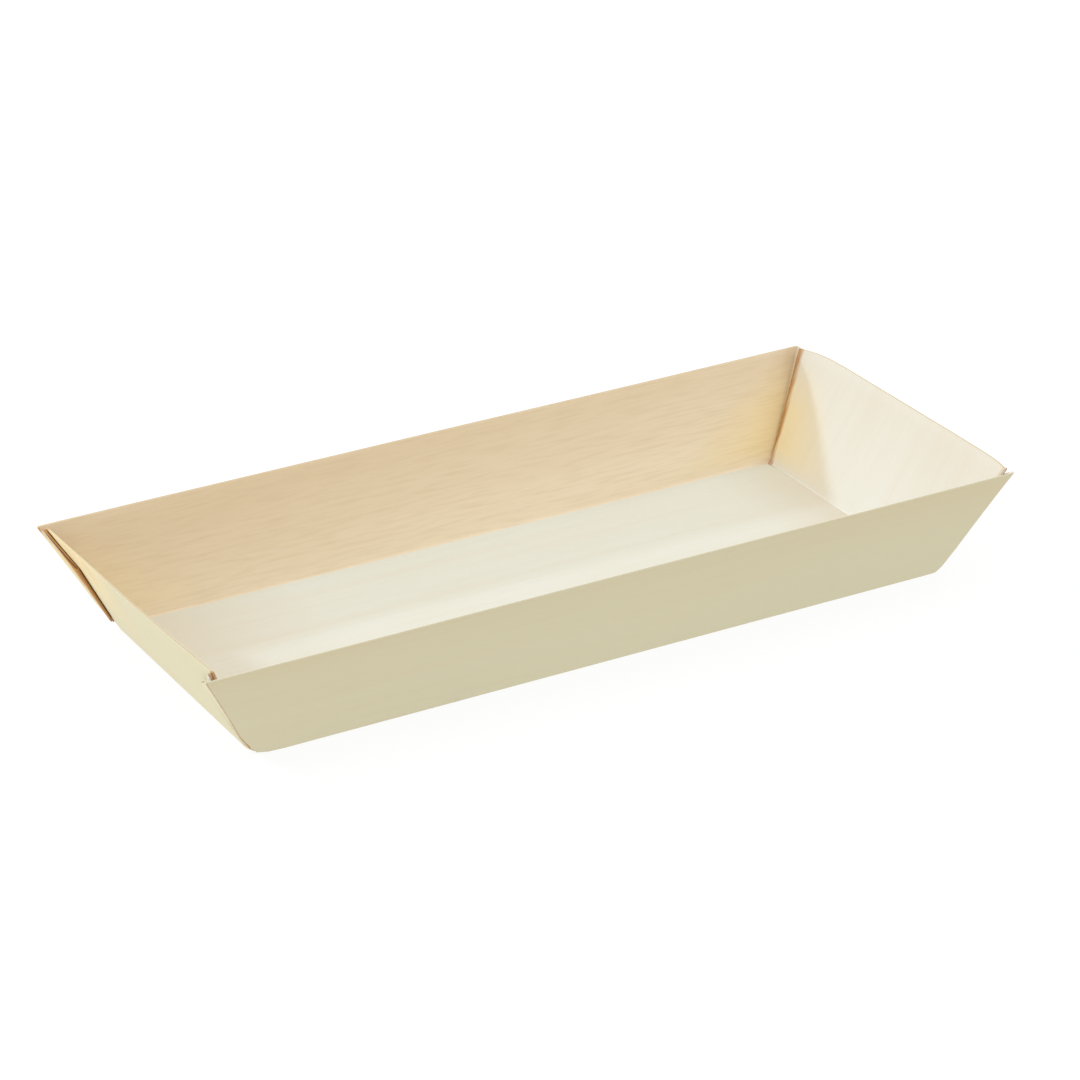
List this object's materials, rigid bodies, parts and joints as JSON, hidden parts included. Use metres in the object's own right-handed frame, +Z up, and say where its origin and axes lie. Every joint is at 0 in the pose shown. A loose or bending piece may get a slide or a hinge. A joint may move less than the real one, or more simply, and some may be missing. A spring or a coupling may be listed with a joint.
{
  "type": "wooden food tray",
  "caption": "Shallow rectangular food tray folded from thin wood veneer laminate, with flared walls and web corners folded flat and glued onto the outside of the end walls.",
  "frame": {"origin": "on the floor under the middle of the bottom panel", "axes": "+Z up, +X along the tray towards its right end, +Y towards its back wall"},
  "size_m": [0.1871, 0.0844, 0.023],
  "materials": {
    "veneer": "raw rotary-cut veneer, sanded, matt",
    "glue": "dried hot-melt spot, slightly glossy"
  },
  "bodies": {
    "root": {"bottom_panel": "veneer", "back_wall": "veneer", "front_wall": "veneer", "right_end_wall": "veneer", "left_end_wall": "veneer", "back_right_inner_leaf": "veneer", "back_right_outer_leaf": "veneer", "front_right_inner_leaf": "veneer", "front_right_outer_leaf": "veneer", "back_left_inner_leaf": "veneer", "back_left_outer_leaf": "veneer", "front_left_inner_leaf": "veneer", "front_left_outer_leaf": "veneer", "back_right_wall_glue": "glue", "back_right_leaf_glue": "glue", "front_right_wall_glue": "glue", "front_right_leaf_glue": "glue", "back_left_wall_glue": "glue", "back_left_leaf_glue": "glue", "front_left_wall_glue": "glue", "front_left_leaf_glue": "glue"}
  },
  "joints": []
}
